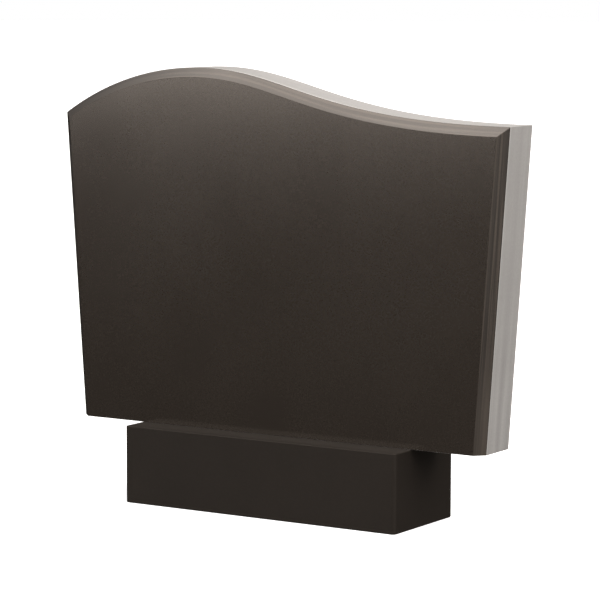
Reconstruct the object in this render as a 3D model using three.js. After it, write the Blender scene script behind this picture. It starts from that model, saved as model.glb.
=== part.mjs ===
import * as THREE from 'three';

// A headstone: a broad stone tablet with a wave-shaped top edge, upright on a low block plinth.
// Millimetres, +Z up. The polished face looks along -Y, and the origin is the middle of the underside.

// Plinth
const plinthWidth = 604;
const plinthDepth = 215;
const plinthHeight = 150;
const plinthCornerRadius = 8;
const cornerSteps = 6;

// Tablet, seen from the front
const footWidth = 900;
const shoulderWidth = 984;
const shoulderHeight = 596;
const crestRise = 93;
const crestOffset = 178;
const crestReach = 192;
const shoulderReach = 411;
const topSteps = 90;

// Tablet, seen from the side
const tabletThickness = 102;
const chamferSize = 18;
const mitreRoom = 27;

// The tablet rests on the middle of the plinth
const bedJoint = 0.3;

// The wave: a round arc up to the crest, then a long S that falls level into the right shoulder.
function waveLine() {
  const left = new THREE.Vector2(-shoulderWidth / 2, shoulderHeight);
  const right = new THREE.Vector2(shoulderWidth / 2, shoulderHeight);
  const crest = new THREE.Vector2(-crestOffset, shoulderHeight + crestRise);
  const run = crest.x - left.x;
  const arcRadius = (run ** 2 + crestRise ** 2) / (2 * crestRise);
  const arcCentre = new THREE.Vector2(crest.x, crest.y - arcRadius);
  const startAngle = Math.atan2(left.y - arcCentre.y, left.x - arcCentre.x);
  const line = new THREE.Path();
  line.absarc(arcCentre.x, arcCentre.y, arcRadius, startAngle, Math.PI / 2, true);
  line.bezierCurveTo(
    crest.x + crestReach, crest.y,
    right.x - shoulderReach, right.y,
    right.x, right.y,
  );
  return line;
}

// The front outline, counter-clockwise from the left foot. Next to a shoulder the wave takes no point
// within the mitre room, where the chamfer on the side and the one on the top meet.
function tabletOutline() {
  const wave = waveLine().getSpacedPoints(topSteps);
  const leftShoulder = wave[0];
  const rightShoulder = wave[topSteps];
  const between = wave.filter((point) => (
    point.distanceTo(leftShoulder) > mitreRoom && point.distanceTo(rightShoulder) > mitreRoom
  ));
  return [
    new THREE.Vector2(-footWidth / 2, 0),
    new THREE.Vector2(footWidth / 2, 0),
    rightShoulder,
    ...between.reverse(),
    leftShoulder,
  ];
}

// Each side of a counter-clockwise outline moves inwards by its own amount, and the corners stay
// mitred. Side i runs from point i to the next one.
function insetOutline(outline, insets) {
  const count = outline.length;
  const inward = outline.map((point, i) => {
    const along = outline[(i + 1) % count].clone().sub(point).normalize();
    return new THREE.Vector2(-along.y, along.x);
  });
  return outline.map((point, i) => {
    const before = (i + count - 1) % count;
    const [n1, n2] = [inward[before], inward[i]];
    const [d1, d2] = [insets[before], insets[i]];
    const turn = n1.cross(n2);
    const isStraight = Math.abs(turn) < 1e-9;
    const shift = isStraight
      ? n1.clone().multiplyScalar(d1)
      : new THREE.Vector2(d1 * n2.y - d2 * n1.y, d2 * n1.x - d1 * n2.x).divideScalar(turn);
    return point.clone().add(shift);
  });
}

// A closed solid through slices of the same number of points, from the back to the front.
function solidThrough(slices) {
  const count = slices[0].outline.length;
  const positions = slices.flatMap(({ outline, y }) => outline.flatMap((point) => [point.x, y, point.y]));
  const indices = [];
  slices.slice(1).forEach((slice, layer) => {
    for (let i = 0; i < count; i += 1) {
      const next = (i + 1) % count;
      const [back, backNext] = [layer * count + i, layer * count + next];
      const [front, frontNext] = [back + count, backNext + count];
      indices.push(back, frontNext, front, back, backNext, frontNext);
    }
  });
  const frontStart = (slices.length - 1) * count;
  THREE.ShapeUtils.triangulateShape(slices.at(-1).outline, []).forEach(([a, b, c]) => {
    indices.push(frontStart + a, frontStart + b, frontStart + c);
  });
  THREE.ShapeUtils.triangulateShape(slices[0].outline, []).forEach(([a, b, c]) => {
    indices.push(c, b, a);
  });
  const geometry = new THREE.BufferGeometry();
  geometry.setAttribute('position', new THREE.Float32BufferAttribute(positions, 3));
  geometry.setIndex(indices);
  geometry.computeVertexNormals();
  return geometry;
}

// A slab with a flat back. The face is chamfered up both sides and over the wave, not along its foot.
function tablet() {
  const outline = tabletOutline();
  const insets = outline.map((point, i) => (i === 0 ? 0 : chamferSize));
  const face = insetOutline(outline, insets);
  const geometry = solidThrough([
    { outline, y: tabletThickness / 2 },
    { outline, y: chamferSize - tabletThickness / 2 },
    { outline: face, y: -tabletThickness / 2 },
  ]);
  const material = new THREE.MeshStandardMaterial({ color: 0x3a3530, roughness: 0.25, metalness: 0 });
  const mesh = new THREE.Mesh(geometry, material);
  mesh.name = 'tablet';
  mesh.position.z = plinthHeight + bedJoint;
  return mesh;
}

// A block with rounded upright edges, sawn flat above and below.
function plinth() {
  const x = plinthWidth / 2 - plinthCornerRadius;
  const y = plinthDepth / 2 - plinthCornerRadius;
  const quarter = Math.PI / 2;
  const corners = [[x, y], [-x, y], [-x, -y], [x, -y]];
  const outline = new THREE.Shape();
  corners.forEach(([cornerX, cornerY], i) => {
    outline.absarc(cornerX, cornerY, plinthCornerRadius, i * quarter, (i + 1) * quarter, false);
  });
  outline.closePath();
  const geometry = new THREE.ExtrudeGeometry(outline, {
    depth: plinthHeight,
    bevelEnabled: false,
    curveSegments: cornerSteps,
  });
  const material = new THREE.MeshStandardMaterial({ color: 0x2d2824, roughness: 0.25, metalness: 0 });
  const mesh = new THREE.Mesh(geometry, material);
  mesh.name = 'plinth';
  return mesh;
}

const headstone = new THREE.Group();
headstone.add(plinth(), tablet());

export default headstone;
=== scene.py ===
import math

import bmesh
import bpy
from mathutils import Matrix, Vector


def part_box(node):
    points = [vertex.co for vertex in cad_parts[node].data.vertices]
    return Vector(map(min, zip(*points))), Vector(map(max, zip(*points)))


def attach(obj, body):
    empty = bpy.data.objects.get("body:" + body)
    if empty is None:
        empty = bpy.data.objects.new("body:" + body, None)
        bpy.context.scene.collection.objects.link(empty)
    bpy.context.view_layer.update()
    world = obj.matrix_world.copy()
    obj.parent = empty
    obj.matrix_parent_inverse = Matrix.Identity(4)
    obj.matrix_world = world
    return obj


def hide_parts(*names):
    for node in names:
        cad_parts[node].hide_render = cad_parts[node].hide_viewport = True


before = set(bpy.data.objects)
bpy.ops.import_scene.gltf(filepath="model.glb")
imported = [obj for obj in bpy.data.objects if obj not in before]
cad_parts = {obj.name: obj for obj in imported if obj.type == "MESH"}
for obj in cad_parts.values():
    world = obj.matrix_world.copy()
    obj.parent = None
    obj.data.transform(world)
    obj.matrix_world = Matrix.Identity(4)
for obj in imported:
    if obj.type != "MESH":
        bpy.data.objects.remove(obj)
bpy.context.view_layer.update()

# A headstone: a dark stone tablet with a wave-shaped top, standing on a low plinth of the same stone.
# Metres, +Z up. The polished face looks along -Y.

# Tablet, beside what its CAD node gives
FOOT_WIDTH = 0.900
SHOULDER_HEIGHT = 0.596
CREST_OFFSET = 0.178
CREST_REACH = 0.192
SHOULDER_REACH = 0.411
CHAMFER = 0.018
ARC_SHARE = 0.33          # share of the columns that stand under the arc left of the crest
COLUMNS = 200
ROWS = 60
BETWEEN_LAYERS = 0.25     # half the step from one layer of the block's points to the next
CHAMFER_BAND = (-0.4, -0.1)         # where the block's faces between chamfer line and face lie
OUTER = 0.499             # faces past this lie on the block's own side

# Plinth, beside what its CAD node gives
CORNER_RADIUS = 0.008
CORNER_SEGMENTS = 8
DOWNWARDS = -0.99         # a face whose normal is lower than this looks down

# Arrises, the fine rounding that a mason rubs along every sharp edge
TABLET_ARRIS = 0.0006
PLINTH_ARRIS = 0.0025
ARRIS_SEGMENTS = 3
ARRIS_ANGLE = math.radians(25)
SMOOTH_BELOW = math.radians(5)      # the wave turns less than this from column to column

# Camera, from the straight edges of the photograph
CAMERA_TARGET = Vector((0.0969, -0.1075, 0.4188))
CAMERA_DISTANCE = 5.2271
CAMERA_AZIMUTH = math.radians(32.274)
CAMERA_ELEVATION = math.radians(6.481)
CAMERA_ROLL = math.radians(0.152)
CAMERA_LENS = 170.125
SENSOR_WIDTH = 36.0

# Stone colours. A pair is its darkest and its lightest
DARK_STONE = ((0.0069, 0.0054, 0.0045, 1), (0.0612, 0.0491, 0.04, 1))
CHAMFER_STONE = ((0.011, 0.0088, 0.0073, 1), (0.055, 0.0445, 0.0365, 1))
HONED_STONE = ((0.222, 0.213, 0.206, 1), (0.478, 0.46, 0.446, 1))
HONED_BACK = ((0.2, 0.192, 0.186, 1), (0.43, 0.414, 0.401, 1))
SAWN_STONE = ((0.16, 0.152, 0.144, 1), (0.36, 0.342, 0.325, 1))
FLECK = (0.2, 0.19, 0.175, 1)
PALE_FOOT = (0.085, 0.071, 0.06, 1)
# painted highlight: the white line along the front edge of the honed top
PAINTED_HIGHLIGHT = (0.8, 0.78, 0.75, 1)
# painted light on the plinth's top ledge, which faces the light from above
LEDGE_LIGHT = (0.075, 0.066, 0.058, 1)
PLINTH_SHADE = 0.47       # the plinth beside the tablet's dark stone

# Gloss
WARM_SHEEN = (1.0, 0.9, 0.82, 1)
PLAIN_SHEEN = (1, 1, 1, 1)
POLISHED_IOR = 1.8
SATIN_IOR = 1.3
HONED_IOR = 1.45
POLISHED_ROUGHNESS = 0.13
SATIN_ROUGHNESS = 0.55
HONED_ROUGHNESS = 0.6
BACK_ROUGHNESS = 0.65
SAWN_ROUGHNESS = 0.7

# Patterns. Scales are in cells per metre, along X, Y and Z where there are three
CRYSTALS = 330.0
FINE_CRYSTALS = 900.0
CLOUDS = 7.0
FLECKS = 95.0
FLECK_SIZE = 0.1
FLECK_RARITY = 0.86
RIPPLE = 260.0
WHEEL_MARKS = (3.0, 260.0, 3.0)
HONED_STREAKS = (3.0, 150.0, 3.0)
HONED_BANDS = (1.5, 48.0, 1.5)
SAW_LINES = (1.5, 30.0, 260.0)

# Depth of the bump, in metres
POLISHED_DEPTH = 0.000002
SATIN_DEPTH = 0.000004
WHEEL_DEPTH = 0.00003
HONED_DEPTH = 0.0002
SAWN_DEPTH = 0.0003

# Places on the stones, as starts and ends along one axis
PALE_FOOT_HEIGHT = (0.2, 0.4)
WORN_HEIGHT = (0.2, 0.5)
HONED_FRONT = -0.033      # where the honed edge meets the chamfer, measured along Y
HIGHLIGHT_WIDTH = (0.0008, 0.0035)
HIGHLIGHT_START = (-0.2, -0.08)
HIGHLIGHT_END = (0.1, 0.25)
LEDGE_LIGHT_HEIGHT = (0.147, 0.1496)       # the last millimetres below the plinth's top
LEDGE_LIGHT_DEPTH = (-0.1075, -0.0775)     # the plinth's front is at the first

# Studio: what the polished faces mirror, as radiance by direction. Heights are sines of the elevation.
DUSK = 0.0101
CEILING_GLOW = 4.31
CEILING_FALL = 3.69
CEILING_MOST = 2.81
CEILING_END = (-0.2, 0.6)           # it fades towards the right
WALL_GLOW = 0.208
WALL_SLOPE = 0.130
WALL_FOOT = 0.050
WALL_TOP = 0.02
WALL_FADE = (0.5, 0.9)
CARD_BEARING = math.radians(-33.0)
CARD_GLOW = 7.28
CARD_FOOT = -0.0210
CARD_EDGE = -0.0163
CARD_TOP = 0.14
CARD_REST = 0.03
LOW_BEARING = math.radians(62)
LOW_GLOW = 0.608
LOW_FOOT = -0.354
LOW_FULL = -0.1
LOW_TOP = 0.3
GLOW_SIDES = (0.6, 0.9)             # cosines of the angle from the bearing
FLOOR_GLOW = 0.6
FLOOR_BOUNCE = 0.25
BOUNCE_FADE = (-0.6, -0.35)
WARM_LIGHT = (1.0, 0.97, 0.94, 1)
KEY_PLACE = (2.6, -0.5, 2.5)
KEY_AIM = (0.4, 0.0, 0.5)
KEY_SIZE = 4.4
KEY_POWER = 158.2
WHITE = (1, 1, 1, 1)
FLOOR_RADIUS = 60.0
FLOOR_SEGMENTS = 96
FLOOR_PAINT = ((0.9, 0.9, 0.9, 1), (0.94, 0.94, 0.94, 1))


class Term:
    """A socket's value, which adds Math nodes to its tree when it is used in an expression."""

    def __init__(self, graph, socket):
        self.graph = graph
        self.socket = socket

    def math(self, operation, *others):
        node = self.graph.add("ShaderNodeMath", {"operation": operation}, dict(enumerate((self, *others))))
        return self.graph.out(node, 0)

    def reversed_math(self, operation, other):
        node = self.graph.add("ShaderNodeMath", {"operation": operation}, {0: other, 1: self})
        return self.graph.out(node, 0)

    def __add__(self, other):
        return self.math("ADD", other)

    def __sub__(self, other):
        return self.math("SUBTRACT", other)

    def __mul__(self, other):
        return self.math("MULTIPLY", other)

    def __truediv__(self, other):
        return self.math("DIVIDE", other)

    def __pow__(self, other):
        return self.math("POWER", other)

    def __lt__(self, other):
        return self.math("LESS_THAN", other)

    def __gt__(self, other):
        return self.math("GREATER_THAN", other)

    def __rsub__(self, other):
        return self.reversed_math("SUBTRACT", other)

    def __rtruediv__(self, other):
        return self.reversed_math("DIVIDE", other)

    def __neg__(self):
        return self.math("MULTIPLY", -1.0)

    __radd__ = __add__
    __rmul__ = __mul__


class Graph:
    """One node tree, for a material, the world or a modifier."""

    def __init__(self, tree):
        self.tree = tree
        tree.nodes.clear()

    def add(self, kind, settings=None, values=None):
        node = self.tree.nodes.new(kind)
        for name, value in (settings or {}).items():
            setattr(node, name, value)
        for name, value in (values or {}).items():
            self.feed(node.inputs[name], value)
        return node

    def feed(self, socket, value):
        if isinstance(value, Term):
            self.tree.links.new(value.socket, socket)
        else:
            socket.default_value = value

    def out(self, node, name):
        return Term(self, node.outputs[name])

    def parts(self, term):
        node = self.add("ShaderNodeSeparateXYZ", values={0: term})
        return [self.out(node, axis) for axis in "XYZ"]

    def vector(self, x, y, z):
        return self.make("ShaderNodeCombineXYZ", values={"X": x, "Y": y, "Z": z})

    def make(self, kind, settings=None, values=None, output=0):
        return self.out(self.add(kind, settings, values), output)

    def mix(self, factor, first, second):
        """A colour between two colours."""
        node = self.add("ShaderNodeMix", {"data_type": "RGBA"})
        colours = [socket for socket in node.inputs if socket.type == "RGBA"]
        self.feed(node.inputs[0], factor)
        self.feed(colours[0], first)
        self.feed(colours[1], second)
        return Term(self, next(socket for socket in node.outputs if socket.type == "RGBA"))


# Tablet

def wave(share, size):
    """Place and inward normal on the top edge, as x, z, normal x and normal z. Share runs from 0 at the
    left shoulder to 1 at the right one: a round arc up to the crest, then an S that ends level."""
    crest_x = -size["Crest offset"]
    crest_z = size["Shoulder height"] + size["Crest rise"]
    half = size["Shoulder width"] * 0.5

    run = half + crest_x
    radius = (run * run + size["Crest rise"] * size["Crest rise"]) / (2.0 * size["Crest rise"])
    span = (run / radius).math("ARCSINE")
    turn = span * (1.0 - (share / ARC_SHARE).math("MINIMUM", 1.0))
    sine, cosine = turn.math("SINE"), turn.math("COSINE")
    arc = (crest_x - radius * sine, crest_z - radius * (1.0 - cosine), sine, -cosine)

    t = ((share - ARC_SHARE) / (1.0 - ARC_SHARE)).math("MAXIMUM", 0.0)
    r = 1.0 - t
    fall = t * t * (3.0 - 2.0 * t)
    x = (
        crest_x
        + (half - crest_x) * fall
        + 3.0 * size["Crest reach"] * r * r * t
        - 3.0 * size["Shoulder reach"] * r * t * t
    )
    along_x = (
        6.0 * (half - crest_x) * t * r
        + 3.0 * size["Crest reach"] * r * (r - 2.0 * t)
        - 3.0 * size["Shoulder reach"] * t * (2.0 * r - t)
    )
    along_z = -6.0 * size["Crest rise"] * t * r
    length = (along_x * along_x + along_z * along_z).math("SQRT")
    ess = (x, crest_z - size["Crest rise"] * fall, along_z / length, -along_x / length)

    on_arc = share < ARC_SHARE
    return [on_arc * a + (1.0 - on_arc) * e for a, e in zip(arc, ess)]


def slab_tree(sizes, finishes):
    """A block of three layers of points, back, chamfer line and face, drawn out to the slab's outline."""
    tree = bpy.data.node_groups.new("Wave slab", "GeometryNodeTree")
    tree.interface.new_socket("Geometry", in_out="OUTPUT", socket_type="NodeSocketGeometry")
    for name, value in sizes.items():
        kind = "NodeSocketInt" if isinstance(value, int) else "NodeSocketFloat"
        tree.interface.new_socket(name, in_out="INPUT", socket_type=kind)
    graph = Graph(tree)
    given = graph.add("NodeGroupInput")
    size = {name: graph.out(given, name) for name in sizes}

    block = graph.make("GeometryNodeMeshCube", values={
        "Size": (1.0, 1.0, 1.0),
        "Vertices X": size["Columns"], "Vertices Y": 3, "Vertices Z": size["Rows"],
    })
    position = graph.make("GeometryNodeInputPosition")
    capture = graph.add("GeometryNodeCaptureAttribute", {"domain": "FACE"})
    capture.capture_items.new("VECTOR", "Place")
    graph.feed(capture.inputs["Geometry"], block)
    graph.feed(capture.inputs["Place"], position)

    across, layer, up = graph.parts(position)
    share = across + 0.5
    rise = up + 0.5
    is_face = layer < -BETWEEN_LAYERS
    is_line = layer.math("ABSOLUTE") < BETWEEN_LAYERS
    inset = is_face * size["Chamfer"]
    mitred = share + is_face * (size["Left mitre"] - (size["Left mitre"] + size["Right mitre"]) * share)
    edge_x, edge_z, normal_x, normal_z = wave(mitred, size)
    top_x = edge_x + inset * normal_x
    top_z = edge_z + inset * normal_z
    lean = (size["Shoulder width"] - size["Foot width"]) * 0.5 / size["Shoulder height"]
    foot_half = size["Foot width"] * 0.5 - inset * (lean * lean + 1.0).math("SQRT")
    foot_x = foot_half * (2.0 * share - 1.0)
    place = graph.vector(
        foot_x + rise * (top_x - foot_x),
        size["Thickness"] * layer + is_line * (size["Chamfer"] - size["Thickness"] * 0.5),
        size["Foot level"] + rise * top_z,
    )
    shaped = graph.make("GeometryNodeSetPosition", values={
        "Geometry": graph.out(capture, "Geometry"), "Position": place,
    })
    smooth = graph.make("GeometryNodeSetShadeSmooth", values={"Geometry": shaped})
    solid = graph.make("GeometryNodeRealizeInstances", values={"Geometry": smooth})

    _, face_y, face_z = graph.parts(graph.out(capture, "Place"))
    in_band = (face_y > CHAMFER_BAND[0]) * (face_y < CHAMFER_BAND[1])
    over_foot = face_z > -OUTER
    zones = (
        (finishes["honed"], True),
        (finishes["honed back"], face_y > OUTER),
        (finishes["polished"], face_y < -OUTER),
        (finishes["chamfer"], in_band * over_foot),
    )
    for finish, selection in zones:
        solid = graph.make("GeometryNodeSetMaterial", values={
            "Geometry": solid, "Selection": selection, "Material": finish,
        })
    graph.add("NodeGroupOutput", values={"Geometry": solid})
    return tree


def finished(host, name):
    """The host object with its modifiers applied, as a plain object of that name."""
    evaluated = host.evaluated_get(bpy.context.evaluated_depsgraph_get())
    mesh = bpy.data.meshes.new_from_object(evaluated)
    mesh.name = name
    bpy.data.objects.remove(host)
    piece = bpy.data.objects.new(name, mesh)
    bpy.context.collection.objects.link(piece)
    return piece


def rub_arrises(host, width):
    bevel = host.modifiers.new("Arris", "BEVEL")
    bevel.width = width
    bevel.segments = ARRIS_SEGMENTS
    bevel.limit_method = "ANGLE"
    bevel.angle_limit = ARRIS_ANGLE


def make_tablet(finishes):
    low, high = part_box("tablet")
    half = (high.x - low.x) / 2
    crest_rise = high.z - low.z - SHOULDER_HEIGHT
    run = half - CREST_OFFSET
    radius = (run ** 2 + crest_rise ** 2) / (2 * crest_rise)
    span = math.asin(run / radius)
    lean = math.atan((half - FOOT_WIDTH / 2) / SHOULDER_HEIGHT)
    left_corner = math.pi / 2 + span - lean
    right_corner = math.pi / 2 - lean
    sizes = {
        "Foot width": FOOT_WIDTH,
        "Shoulder width": high.x - low.x,
        "Shoulder height": SHOULDER_HEIGHT,
        "Crest rise": crest_rise,
        "Crest offset": CREST_OFFSET,
        "Crest reach": CREST_REACH,
        "Shoulder reach": SHOULDER_REACH,
        "Thickness": high.y - low.y,
        "Chamfer": CHAMFER,
        "Left mitre": ARC_SHARE * CHAMFER / math.tan(left_corner / 2) / (radius * span),
        "Right mitre": (1 - ARC_SHARE) * CHAMFER / math.tan(right_corner / 2) / (3 * SHOULDER_REACH),
        "Foot level": low.z,
        "Columns": COLUMNS,
        "Rows": ROWS,
    }
    host = bpy.data.objects.new("tablet host", bpy.data.meshes.new("tablet host"))
    bpy.context.collection.objects.link(host)
    modifier = host.modifiers.new("Slab", "NODES")
    modifier.node_group = slab_tree(sizes, finishes)
    for item in modifier.node_group.interface.items_tree:
        if item.in_out == "INPUT":
            modifier[item.identifier] = sizes[item.name]
    rub_arrises(host, TABLET_ARRIS)
    piece = finished(host, "tablet_stone")
    piece.data.set_sharp_from_angle(angle=SMOOTH_BELOW)
    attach(piece, "root")
    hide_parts("tablet")


# Plinth

def make_plinth(finishes):
    low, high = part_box("plinth")
    mesh = bpy.data.meshes.new("plinth host")
    shape = bmesh.new()
    bmesh.ops.create_cube(shape, size=1.0)
    for vertex in shape.verts:
        vertex.co = [(a + b) / 2 + (b - a) * c for a, b, c in zip(low, high, vertex.co)]
    upright = [
        edge for edge in shape.edges
        if abs(edge.verts[0].co.z - edge.verts[1].co.z) > CORNER_RADIUS
    ]
    bmesh.ops.bevel(
        shape, geom=upright, offset=CORNER_RADIUS, segments=CORNER_SEGMENTS, profile=0.5, affect="EDGES",
    )
    order = ("satin", "sawn")
    for face in shape.faces:
        face.smooth = True
        face.material_index = order.index("sawn" if face.normal.z < DOWNWARDS else "satin")
    shape.to_mesh(mesh)
    shape.free()
    for name in order:
        mesh.materials.append(finishes[name])
    host = bpy.data.objects.new("plinth host", mesh)
    bpy.context.collection.objects.link(host)
    rub_arrises(host, PLINTH_ARRIS)
    weighted = host.modifiers.new("Flat faces", "WEIGHTED_NORMAL")
    weighted.weight = 100
    piece = finished(host, "plinth_stone")
    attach(piece, "root")
    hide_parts("plinth")


# Finishes of the stone

def new_finish(name):
    material = bpy.data.materials.new(name)
    material.use_nodes = True
    graph = Graph(material.node_tree)
    place = graph.make("ShaderNodeTexCoord", output="Object")
    return material, graph, place


def stretched(graph, place, scale):
    return graph.make("ShaderNodeMapping", values={"Vector": place, "Scale": scale})


def noise(graph, place, scale, detail=2.0):
    return graph.make("ShaderNodeTexNoise", values={"Vector": place, "Scale": scale, "Detail": detail})


def soft_step(graph, value, start, end, low, high):
    return graph.make("ShaderNodeMapRange", {"interpolation_type": "SMOOTHSTEP"}, {
        "Value": value, "From Min": start, "From Max": end, "To Min": low, "To Max": high,
    })


def surface(graph, colour, roughness, height, depth, ior, sheen=PLAIN_SHEEN):
    bump = graph.make("ShaderNodeBump", values={"Strength": 1.0, "Distance": depth, "Height": height})
    shader = graph.make("ShaderNodeBsdfPrincipled", values={
        "Base Color": colour, "Roughness": roughness, "Normal": bump, "IOR": ior, "Specular Tint": sheen,
    })
    graph.add("ShaderNodeOutputMaterial", values={"Surface": shader})


def swing(pattern):
    """A pattern from 0 to 1, as its swing about its middle."""
    return pattern - 0.5


def shaded(graph, tone, stone):
    """The stone's colour at a tone, where 1 is halfway between its darkest and its lightest."""
    return graph.mix(tone * 0.5, *stone)


def cells(graph, place, scale):
    """Crystals of even tone, as the node."""
    return graph.add("ShaderNodeTexVoronoi", values={"Vector": place, "Scale": scale})


def grain(graph, place, strength=1.0):
    """Crystals of two sizes and broad clouds, about 1 on average."""
    coarse = graph.parts(graph.out(cells(graph, place, CRYSTALS), "Color"))[0]
    fine = graph.parts(graph.out(cells(graph, place, FINE_CRYSTALS), "Color"))[0]
    clouds = noise(graph, place, CLOUDS)
    mottle = 0.16 * swing(coarse) + 0.14 * swing(fine) + 0.5 * swing(clouds)
    return 1.0 + strength * mottle


def flecks(graph, place):
    """Rare small bright crystals, as a mask."""
    spots = cells(graph, place, FLECKS)
    near = graph.out(spots, "Distance") < FLECK_SIZE
    chosen = graph.parts(graph.out(spots, "Color"))[1] > FLECK_RARITY
    return near * chosen


def polished_stone():
    material, graph, place = new_finish("polished dark stone")
    stone = shaded(graph, grain(graph, place, 0.5), DARK_STONE)
    colour = graph.mix(flecks(graph, place) * 0.1, stone, FLECK)
    roughness = POLISHED_ROUGHNESS + 0.04 * swing(noise(graph, place, 3.0))
    ripple = noise(graph, place, RIPPLE)
    surface(graph, colour, roughness, ripple, POLISHED_DEPTH, POLISHED_IOR, WARM_SHEEN)
    return material


def chamfered_stone():
    """Polished along the edge, so the wheel's marks run with the chamfer, and paler near the foot."""
    material, graph, place = new_finish("polished chamfer")
    _, _, height = graph.parts(place)
    wheel = noise(graph, stretched(graph, place, WHEEL_MARKS), 1.0, 3.0)
    marks = soft_step(graph, wheel, 0.35, 0.65, 0.0, 1.0) * grain(graph, place)
    stone = graph.mix(marks, *CHAMFER_STONE)
    pale = soft_step(graph, height, *PALE_FOOT_HEIGHT, 0.4, 0.0)
    colour = graph.mix(pale, stone, PALE_FOOT)
    roughness = POLISHED_ROUGHNESS + 0.06 * swing(wheel)
    surface(graph, colour, roughness, wheel, WHEEL_DEPTH, POLISHED_IOR, WARM_SHEEN)
    return material


def satin_stone():
    """Rubbed but not polished, with painted light on the top of the ledge above."""
    material, graph, place = new_finish("satin dark stone")
    _, depth, height = graph.parts(place)
    stone = shaded(graph, grain(graph, place) * PLINTH_SHADE, DARK_STONE)
    # painted light: the ledge's top made paler, fading towards its front edge
    ledge_light = soft_step(graph, height, *LEDGE_LIGHT_HEIGHT, 0.0, 1.0)
    ledge_light = ledge_light * soft_step(graph, depth, *LEDGE_LIGHT_DEPTH, 0.2, 1.0)
    ledge_light = ledge_light * (0.2 + 0.16 * noise(graph, place, 14.0))
    colour = graph.mix(ledge_light, stone, LEDGE_LIGHT)
    roughness = SATIN_ROUGHNESS + 0.06 * swing(noise(graph, place, 5.0))
    ripple = noise(graph, place, RIPPLE)
    surface(graph, colour, roughness, ripple, SATIN_DEPTH, SATIN_IOR, WARM_SHEEN)
    return material


def honed_stone():
    """Pale and matt, streaked most near the foot, with a painted highlight, a white line along the front
    edge of the top.
    """
    material, graph, place = new_finish("honed stone")
    across, depth, height = graph.parts(place)
    streaks = noise(graph, stretched(graph, place, HONED_STREAKS), 1.0, 4.0)
    bands = noise(graph, stretched(graph, place, HONED_BANDS), 1.0, 2.0)
    worn = soft_step(graph, height, *WORN_HEIGHT, 1.0, 0.4)
    marks = swing(streaks) + 0.8 * swing(bands)
    tone = grain(graph, place) * (1.0 + 1.3 * worn * marks)
    stone = shaded(graph, tone, HONED_STONE)
    # painted highlight: a white line along the front edge of the top, only over the middle of the wave
    highlight = soft_step(graph, (depth - HONED_FRONT).math("ABSOLUTE"), *HIGHLIGHT_WIDTH, 1.0, 0.0)
    highlight = highlight * soft_step(graph, across, *HIGHLIGHT_START, 0.25, 1.0)
    highlight = highlight * soft_step(graph, across, *HIGHLIGHT_END, 1.0, 0.25)
    colour = graph.mix(highlight, stone, PAINTED_HIGHLIGHT)
    roughness = HONED_ROUGHNESS + 0.15 * swing(streaks)
    surface(graph, colour, roughness, streaks, HONED_DEPTH, HONED_IOR)
    return material


def lined_stone(name, stone, roughness):
    """Level saw lines, plain as hidden sides are left."""
    material, graph, place = new_finish(name)
    lines = noise(graph, stretched(graph, place, SAW_LINES), 1.0, 3.0)
    tone = grain(graph, place) * (0.8 + 0.4 * lines)
    surface(
        graph, shaded(graph, tone, stone), roughness + 0.15 * swing(lines), lines, SAWN_DEPTH, HONED_IOR,
    )
    return material


# Studio

def make_floor():
    mesh = bpy.data.meshes.new("floor")
    shape = bmesh.new()
    bmesh.ops.create_circle(shape, cap_ends=True, radius=FLOOR_RADIUS, segments=FLOOR_SEGMENTS)
    shape.to_mesh(mesh)
    shape.free()
    floor = bpy.data.objects.new("floor", mesh)
    bpy.context.collection.objects.link(floor)
    floor.visible_glossy = False
    floor.visible_diffuse = False
    material, graph, place = new_finish("pale floor")
    colour = graph.mix(noise(graph, place, 2.0), *FLOOR_PAINT)
    shader = graph.make("ShaderNodeBsdfPrincipled", values={
        "Base Color": colour, "Roughness": 1.0, "Specular IOR Level": 0.0,
        "Emission Color": WHITE, "Emission Strength": FLOOR_GLOW,
    })
    graph.add("ShaderNodeOutputMaterial", values={"Surface": shader})
    mesh.materials.append(material)


def toward(graph, direction, azimuth):
    """Cosine of the angle between a direction and a level bearing, counted from -Y towards +X."""
    bearing = (math.sin(azimuth), -math.cos(azimuth), 0.0)
    return graph.make(
        "ShaderNodeVectorMath", {"operation": "DOT_PRODUCT"}, {0: direction, 1: bearing}, "Value",
    )


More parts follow.
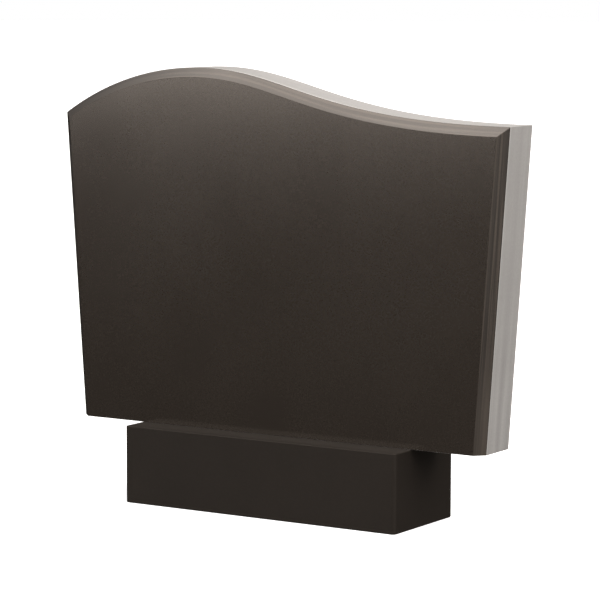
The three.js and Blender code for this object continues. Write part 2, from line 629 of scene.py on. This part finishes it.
def make_world():
    """What the stones mirror. The camera itself sees plain white."""
    world = bpy.data.worlds.new("studio")
    bpy.context.scene.world = world
    world.use_nodes = True
    graph = Graph(world.node_tree)
    direction = graph.make("ShaderNodeTexCoord", output="Generated")
    across, _, up = graph.parts(direction)
    ceiling = (CEILING_GLOW * up.math("MAXIMUM", 0.0) ** CEILING_FALL).math("MINIMUM", CEILING_MOST)
    ceiling = ceiling * soft_step(graph, across, *CEILING_END, 1.0, 0.0)
    walls = soft_step(graph, up, 0.0, WALL_FOOT, 0.0, 1.0) * (WALL_GLOW + WALL_SLOPE * across)
    walls = walls * soft_step(graph, up, *WALL_FADE, 1.0, WALL_TOP)
    card = soft_step(graph, toward(graph, direction, CARD_BEARING), *GLOW_SIDES, 0.0, CARD_GLOW)
    card = card * soft_step(graph, up, CARD_FOOT, CARD_EDGE, 0.0, 1.0)
    card = card * soft_step(graph, up, 0.0, CARD_TOP, 1.0, CARD_REST)
    low = soft_step(graph, toward(graph, direction, LOW_BEARING), *GLOW_SIDES, 0.0, LOW_GLOW)
    low = low * soft_step(graph, up, LOW_FOOT, LOW_FULL, 0.0, 1.0)
    low = low * soft_step(graph, up, 0.0, LOW_TOP, 1.0, 0.0)
    bounce = soft_step(graph, up, *BOUNCE_FADE, FLOOR_BOUNCE, 0.0)
    glow = DUSK + ceiling + walls + card + low + bounce
    seen = graph.make("ShaderNodeLightPath", output="Is Camera Ray")
    room = graph.make("ShaderNodeBackground", values={"Color": WARM_LIGHT, "Strength": glow})
    sheet = graph.make("ShaderNodeBackground", values={"Color": WHITE, "Strength": 1.0})
    mixed = graph.make("ShaderNodeMixShader", values={0: seen, 1: room, 2: sheet})
    graph.add("ShaderNodeOutputWorld", values={"Surface": mixed})


def make_key():
    lamp = bpy.data.lights.new("key softbox", "AREA")
    lamp.shape = "RECTANGLE"
    lamp.size = KEY_SIZE
    lamp.size_y = KEY_SIZE
    lamp.energy = KEY_POWER
    lamp.color = WARM_LIGHT[:3]
    holder = bpy.data.objects.new("key softbox", lamp)
    bpy.context.collection.objects.link(holder)
    holder.location = KEY_PLACE
    holder.rotation_euler = (Vector(KEY_AIM) - Vector(KEY_PLACE)).to_track_quat("-Z", "Y").to_euler()


def make_camera():
    back = Vector((
        math.sin(CAMERA_AZIMUTH) * math.cos(CAMERA_ELEVATION),
        -math.cos(CAMERA_AZIMUTH) * math.cos(CAMERA_ELEVATION),
        math.sin(CAMERA_ELEVATION),
    ))
    data = bpy.data.cameras.new("camera")
    data.sensor_width = SENSOR_WIDTH
    data.lens = CAMERA_LENS
    camera = bpy.data.objects.new("camera", data)
    bpy.context.collection.objects.link(camera)
    turn = (-back).to_track_quat("-Z", "Y").to_matrix().to_4x4() @ Matrix.Rotation(CAMERA_ROLL, 4, "Z")
    camera.matrix_world = Matrix.Translation(CAMERA_TARGET + back * CAMERA_DISTANCE) @ turn
    bpy.context.scene.camera = camera


bpy.context.scene.view_settings.view_transform = "Standard"

finishes = {
    "polished": polished_stone(),
    "chamfer": chamfered_stone(),
    "satin": satin_stone(),
    "honed": honed_stone(),
    "honed back": lined_stone("honed back", HONED_BACK, BACK_ROUGHNESS),
    "sawn": lined_stone("sawn stone", SAWN_STONE, SAWN_ROUGHNESS),
}
make_tablet(finishes)
make_plinth(finishes)
make_floor()
make_world()
make_key()
make_camera()
